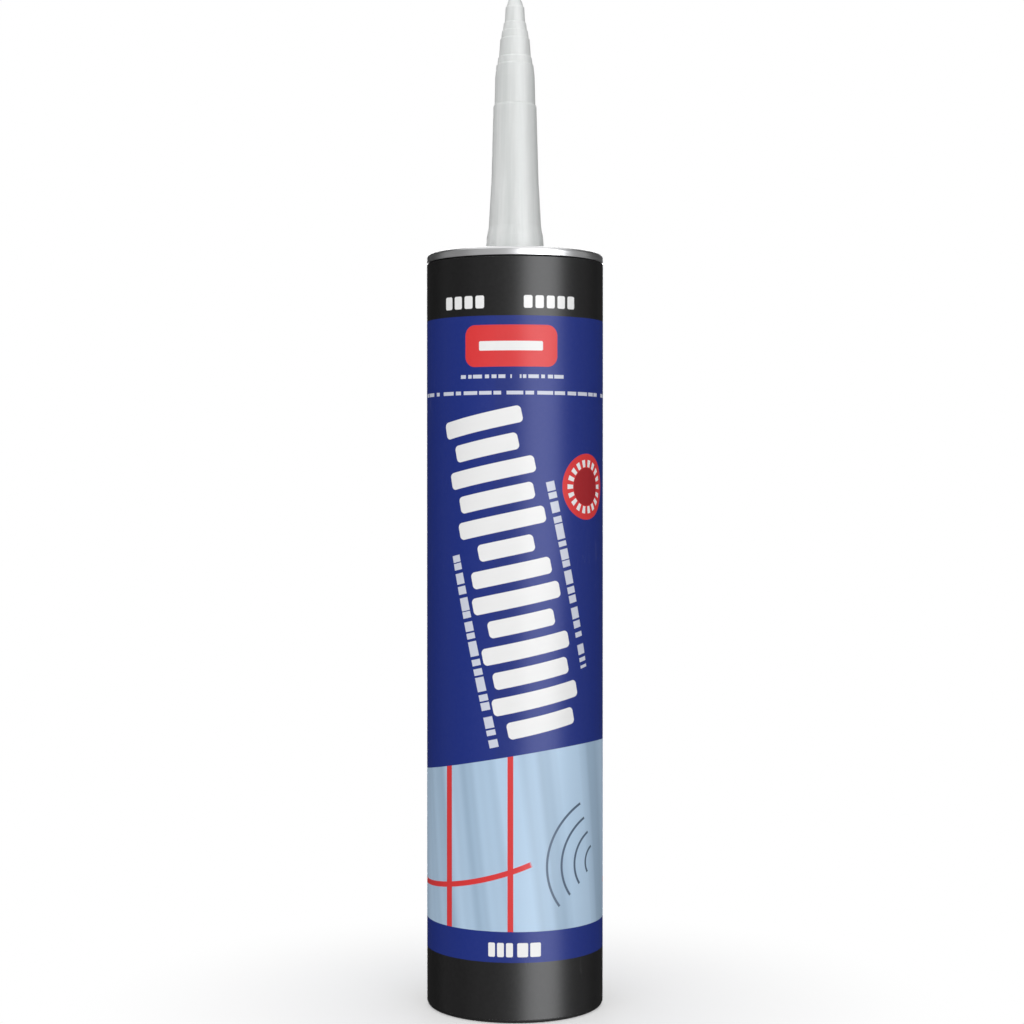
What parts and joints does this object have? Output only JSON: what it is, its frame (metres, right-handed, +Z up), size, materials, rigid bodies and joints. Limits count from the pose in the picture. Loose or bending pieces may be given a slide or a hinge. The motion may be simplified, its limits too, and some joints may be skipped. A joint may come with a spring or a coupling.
{
  "type": "caulk tube",
  "caption": "Gun cartridge of sealant: printed fibreboard tube with a seamed tinplate end, a long tapered nozzle with a closed tip, and a cup plunger that slides up the bore.",
  "frame": {"origin": "on the tube's axis in the plane of its rear rim", "axes": "+Z up the tube's axis towards the nozzle, -Y towards the printed front, +X to the right of the front"},
  "size_m": [0.0504, 0.0505, 0.2881],
  "materials": {
    "fibreboard": "matt",
    "printed_paper": "varnished",
    "tinplate": "bright",
    "nozzle_plastic": "satin",
    "foil": "bright",
    "plunger_plastic": "satin",
    "sealant": "glossy"
  },
  "bodies": {
    "cartridge": {"cartridge_tube": "fibreboard", "label_wrap": "printed_paper", "front_end": "tinplate", "nozzle": "nozzle_plastic", "foil_seal": "foil", "sealant": "sealant"},
    "piston": {"plunger": "plunger_plastic"}
  },
  "joints": [
    {"name": "plunger_slide", "type": "slide", "parent": "cartridge", "child": "piston", "axis": [0, 0, 1], "range_m": [0, 0.17], "deforming": ["sealant"]}
  ]
}
